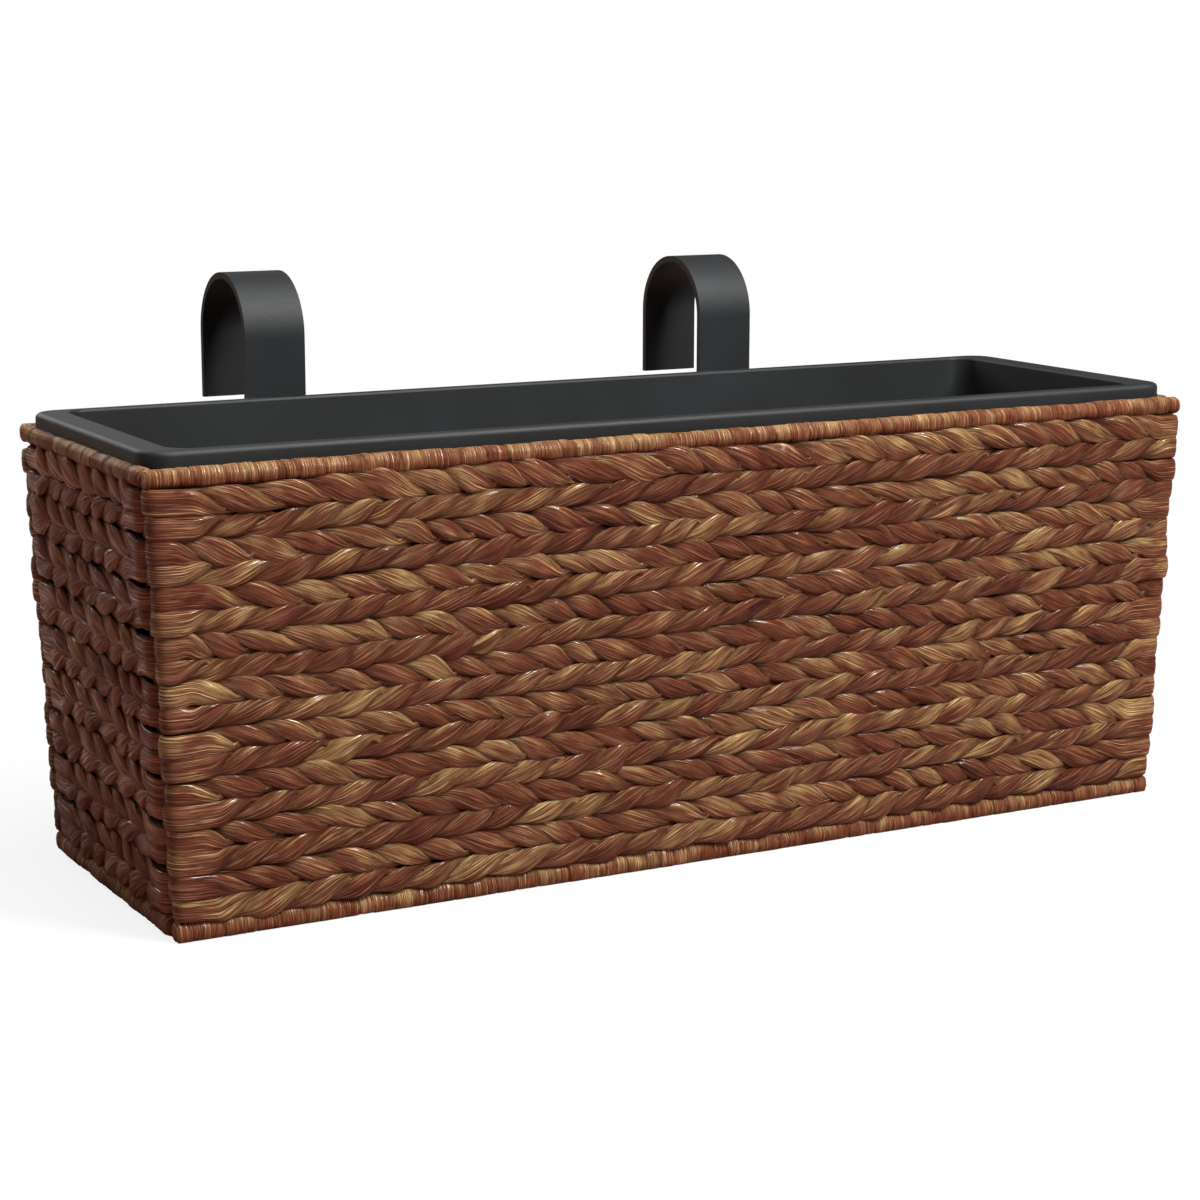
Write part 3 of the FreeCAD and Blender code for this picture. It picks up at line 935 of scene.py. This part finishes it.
# ---- rims ----------------------------------------
@dataclass
class WrappedRim:
    """Fibre wound round one rod of a rim, in turns of uneven width."""

    node: str
    finish: bpy.types.Material
    random: np.random.Generator
    turn_widths: tuple[float, float] = (3.0, 14.0)
    most_turns: int = 400
    ring_step: float = 0.7
    around: int = 22
    edge_depth: float = 0.42        # the groove between two turns
    edge_width: float = 0.5
    edge_shade: float = 0.7
    step: float = 0.28              # how much one turn stands out from the next, either way
    lumps: float = 0.32
    lump_run: float = 14.0
    slant: float = 0.9              # how far a turn climbs along the rod
    slant_phase: float = 0.4
    cap: float = 0.45               # length of the rounded ends, in radii
    tone_range: tuple[float, float] = (0.36, 0.76)
    # Painted light: the upper side of the rod is painted paler, as if lit from above.
    painted_top_light: float = 0.42
    snug: bool = False              # the hooks slide along this one, so nothing stands proud of it
    snug_gap: float = 0.05

    def build(self) -> bpy.types.Object:
        """Wind the rim in place of its plain sleeve.

        Returns:
            The wound piece.
        """
        low, high = (np.array(corner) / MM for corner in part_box(self.node))
        size = high - low
        lengthwise = 0 if size[0] > size[1] else 1
        radius = size[1 - lengthwise] / 2
        centre = (low + high) / 2
        centre[2] = high[2] - radius
        length = size[lengthwise]
        rings = round(length / self.ring_step)
        along = np.linspace(-length / 2, length / 2, rings + 1)
        angle = np.linspace(0, 2 * math.pi, self.around + 1) + math.pi / 2
        widths = self.random.uniform(*self.turn_widths, self.most_turns)
        edges = np.cumsum(widths) - length / 2 - self.turn_widths[1]
        wound = along[:, None] + self.slant * np.sin(angle[None, :] + self.slant_phase)
        turn = np.searchsorted(edges, wound)
        to_edge = np.minimum(np.abs(wound - edges[np.clip(turn, 0, len(edges) - 1)]),
                             np.abs(wound - edges[np.clip(turn - 1, 0, len(edges) - 1)]))
        groove = np.exp(-to_edge / self.edge_width)
        proud = self.random.uniform(-1, 1, self.most_turns + 2)[turn]
        lumps = drift(self.random, along, self.lump_run, self.around + 1)
        lumps[:, -1] = lumps[:, 0]
        reach = radius + self.step * proud + self.lumps * lumps - self.edge_depth * groove
        if self.snug:
            reach = np.minimum(reach, radius - self.snug_gap)
        reach[:, -1] = reach[:, 0]
        end = np.minimum(along + length / 2, length / 2 - along)
        cap = np.sqrt(np.clip(1 - (1 - np.clip(end / (radius * self.cap), 0, 1)) ** 2, 0, 1))
        reach = reach * cap[:, None]
        points = np.empty((*reach.shape, 3))
        points[..., lengthwise] = centre[lengthwise] + along[:, None]
        points[..., 1 - lengthwise] = centre[1 - lengthwise] + reach * np.cos(angle)[None, :]
        points[..., 2] = centre[2] + reach * np.sin(angle)[None, :]
        points[..., 2] = np.maximum(points[..., 2], low[2])
        tone = self.random.uniform(0, 1, self.most_turns + 2)[turn]
        darkest, palest = self.tone_range
        # Painted light: the tone rises towards the top of the rod.
        tone = tone * (palest - darkest) + darkest + self.painted_top_light * np.sin(angle)[None, :]
        tone = np.clip(tone, 0, 1)
        tone[:, -1] = tone[:, 0]
        round_rod = np.tile(angle * radius, (len(along), 1))
        along_rod = np.tile(along[:, None], (1, len(angle)))
        # Painted shade in the grooves between turns, through the depth.
        skin = Skin(points * MM, round_rod, along_rod, tone, np.clip(groove * self.edge_shade, 0, 1),
                    float(self.random.uniform(0, 500)))
        weaver = Weaver(f"{self.node}_wound")
        weaver.skins.append(skin)
        piece = weaver.make(self.finish)
        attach(piece, "basket")
        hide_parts(self.node)
        LOG.info("%s: %d faces", piece.name, len(piece.data.polygons))
        return piece


# ---- liner ----------------------------------------
@dataclass
class MouldedLiner:
    """The lift-out liner. Its rolled rim is drawn out at both ends, where it covers more of the basket."""

    finish: bpy.types.Material
    outward: float = 3.4            # how far the outside of the rim is drawn out at an end
    inward: float = 3.4             # how far the mouth is drawn in there
    outer_depth: float = 2.6        # depth from the outline up to which the rim counts as outside
    inner_depth: float = 5.6        # depth from which it counts as the tub
    corner: float = 12.0            # radius of the outline's corners
    full_inset: float = 8.5         # the change of shape is complete at this distance from the end
    start_inset: float = 32.0       # and begins at this one

    def share_inside(self, offset: np.ndarray, half: np.ndarray) -> np.ndarray:
        """How far each point belongs to the tub, from 0 on the outside of the rim to 1.

        Args:
            offset: Places along X and Y, from the middle of the liner.
            half: Half the liner's length and width.

        Returns:
            The share of each point.
        """
        past = np.abs(offset) - (half - self.corner)
        round_part = np.hypot(*np.maximum(past, 0.0).T)
        depth = self.corner - round_part - np.minimum(past.max(axis=1), 0.0)
        return eased(np.clip((depth - self.outer_depth) / (self.inner_depth - self.outer_depth), 0, 1))

    def build(self) -> bpy.types.Object:
        """Copy the liner of the construction, broaden both ends of its rim and dress it.

        Returns:
            The dressed copy.
        """
        low, high = (np.array(corner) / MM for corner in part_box("liner"))
        middle, half = (low + high)[:2] / 2, (high - low)[:2] / 2
        mesh = frame["nodes"]["liner"].data.copy()
        mesh.name = "liner_broad_rim"
        points = np.empty(len(mesh.vertices) * 3)
        mesh.vertices.foreach_get("co", points)
        points = points.reshape(-1, 3)
        offset = points[:, :2] / MM - middle
        end = (np.abs(offset[:, 0]) - (half[0] - self.start_inset)) / (self.start_inset - self.full_inset)
        end = eased(np.clip(end, 0, 1))
        inside = self.share_inside(offset, half)
        shift = end * (self.outward * (1 - inside) - self.inward * inside)
        points[:, 0] += np.sign(offset[:, 0]) * shift * MM
        mesh.vertices.foreach_set("co", points.ravel())
        mesh.materials.clear()
        mesh.materials.append(self.finish)
        piece = bpy.data.objects.new("liner_broad_rim", mesh)
        bpy.context.scene.collection.objects.link(piece)
        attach(piece, "liner")
        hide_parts("liner")
        LOG.info("%s: %d faces", piece.name, len(mesh.polygons))
        return piece


# ---- studio ----------------------------------------
@dataclass(frozen=True)
class Studio:
    """A white floor and background, soft lamps, and the camera of the photograph."""

    middle_y: float
    camera_from_middle: tuple[float, float, float] = (-620.5, -1109.2, 356.8)
    yaw: float = 28.73
    pitch: float = 11.10
    roll: float = -0.107
    lens: float = 81.6
    sensor: float = 36.0
    floor_reach: float = 4000.0
    paper: float = 0.80             # how white the floor is to the camera, where the shadow falls
    glow: float = 0.84              # how much of the floor near the box is plain white to the camera
    fade: tuple[float, float] = (0.25, 0.6)     # in metres from the box, where the shadow's share ends
    bounce: float = 0.45            # how white the floor is to everything else
    warmth: Colour = (1.0, 0.74, 0.63)          # tint of the light from the floor and the sky
    sky: float = 0.14
    aim: float = 0.1                # height in metres that the lamps face

    def camera(self) -> None:
        """Stand the camera where the photograph was taken."""
        data = bpy.data.cameras.new("camera")
        data.lens = self.lens
        data.sensor_width = self.sensor
        camera = bpy.data.objects.new("camera", data)
        bpy.context.collection.objects.link(camera)
        x, y, z = self.camera_from_middle
        camera.location = Vector((x, y + self.middle_y, z)) * MM
        turn = Matrix.Rotation(math.radians(-self.yaw), 4, "Z")
        tilt = Matrix.Rotation(math.radians(90 - self.pitch), 4, "X")
        roll = Matrix.Rotation(math.radians(-self.roll), 4, "Z")
        camera.rotation_euler = (turn @ tilt @ roll).to_euler()
        bpy.context.scene.camera = camera

    def floor(self) -> None:
        """Lay the white floor, which keeps the object's shadow."""
        shape = bmesh.new()
        bmesh.ops.create_grid(shape, x_segments=1, y_segments=1, size=self.floor_reach * MM)
        mesh = bpy.data.meshes.new("floor")
        shape.to_mesh(mesh)
        shape.free()
        floor = bpy.data.objects.new("floor", mesh)
        bpy.context.collection.objects.link(floor)
        shader = Shader("studio_floor")
        path = shader.node("ShaderNodeLightPath")
        seen = Value(shader, path.outputs["Is Camera Ray"])
        colour = shader.mix(seen, tuple(self.bounce * part for part in self.warmth), (self.paper,) * 3)
        shader.finish(Base_Color=colour, Roughness=0.9, Specular_IOR_Level=0.2)
        glow = shader.node("ShaderNodeEmission", inputs={"Color": (1.0, 1.0, 1.0), "Strength": 1.0})
        x, y, _ = shader.place()
        away = (x * x + (y - self.middle_y * MM) * (y - self.middle_y * MM)).power(0.5)
        share = seen * (self.glow + away.ramp(*self.fade) * (1 - self.glow))
        blend = shader.node("ShaderNodeMixShader", inputs={
            0: share, 1: shader.surface.outputs["BSDF"], 2: glow.outputs["Emission"]})
        shader.tree.links.new(blend.outputs["Shader"], shader.output.inputs["Surface"])
        mesh.materials.append(shader.material)

    def world(self) -> None:
        """White to the camera, and a dim even sky for everything else."""
        world = bpy.data.worlds.new("studio")
        bpy.context.scene.world = world
        world.use_nodes = True
        back = world.node_tree.nodes["Background"]
        shader = ShaderTree(world.node_tree)
        seen = Value(shader, shader.node("ShaderNodeLightPath").outputs["Is Camera Ray"])
        shader.put(back.inputs["Strength"], seen * (1.0 - self.sky) + self.sky)
        shader.put(back.inputs["Color"], shader.mix(seen, self.warmth, (1.0, 1.0, 1.0)))

    def lamp(self, name: str, place: tuple[float, float, float], size: float, power: float) -> None:
        """Hang a square soft lamp that faces the middle of the box.

        Args:
            name: The lamp's name.
            place: Where it hangs, in metres.
            size: Its side, in metres.
            power: Its power, in watts.
        """
        data = bpy.data.lights.new(name, "AREA")
        data.energy = power
        data.size = size
        lamp = bpy.data.objects.new(name, data)
        bpy.context.collection.objects.link(lamp)
        lamp.location = place
        aim = Vector((0, self.middle_y * MM, self.aim)) - Vector(place)
        lamp.rotation_euler = aim.to_track_quat("-Z", "Y").to_euler()

    def build(self) -> None:
        """Set up the floor, the background, the lamps and the camera."""
        self.floor()
        self.world()
        self.lamp("key", (0.8, -1.3, 1.9), 0.7, 66.0)
        self.lamp("spark", (0.9, -1.9, 1.2), 0.25, 16.0)
        self.lamp("top", (0.1, -0.3, 2.0), 1.2, 36.0)
        self.lamp("back", (-0.5, 1.9, 1.3), 1.4, 20.0)
        self.lamp("fill", (-1.8, -1.2, 0.8), 1.4, 1.5)
        self.camera()
        bpy.context.scene.view_settings.view_transform = "Standard"


def dress_nodes(names: list[str], material: bpy.types.Material) -> None:
    """Give pieces of the construction their finish.

    Args:
        names: The pieces' nodes.
        material: The finish.
    """
    for name in names:
        node = frame["nodes"][name]
        node.data.materials.clear()
        node.data.materials.append(material)
        LOG.info("%s: %s", name, material.name)


def main() -> None:
    """Dress the box, piece by piece."""
    logging.basicConfig(level=logging.INFO, format="%(name)s %(message)s")
    low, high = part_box("liner")
    middle_y = (low[1] + high[1]) / 2 / MM
    random = np.random.default_rng(20)
    fibre = PlantFibre("twined_fibre").make()
    binding = PlantFibre("wound_fibre", crease_shade=0.35, streak_share=0.6, relief_mm=1.6,
                         tan=linear(180, 148, 100), glint=0.3).make()
    # Painted shade: the short walls, which stand in shade, get a redder, less streaky copy of the fibre.
    even = PlantFibre("shaded_side_fibre", streak_share=0.6, crease_shade=0.4, red=linear(118, 56, 37),
                      brown=linear(136, 75, 52), tan=linear(170, 120, 82)).make()
    for wall in Wall:
        twining = Twining() if wall.is_long else Twining(end_half_height=4.6, end_draw=0.9,
                                                         rim_reach=1.6, rim_size=1.3)
        TwinedWall(wall, Frame(), twining, fibre if wall.is_long else even, middle_y, random).build()
    for wall in Wall:
        WrappedRim(f"top_wrap_{wall.label}", binding, random, snug=wall is Wall.BACK).build()
        WrappedRim(f"bottom_wrap_{wall.label}", binding, random).build()
    steel = [n for n in frame["nodes"] if n.endswith(("stakes", "wires")) or "_rod_" in n]
    dress_nodes(steel, LacqueredWire().make())
    MouldedLiner(MouldedPlastic().make()).build()
    dress_nodes(["left_hook", "right_hook"], PowderCoat().make())
    Studio(middle_y).build()


if __name__ == "__main__":
    main()
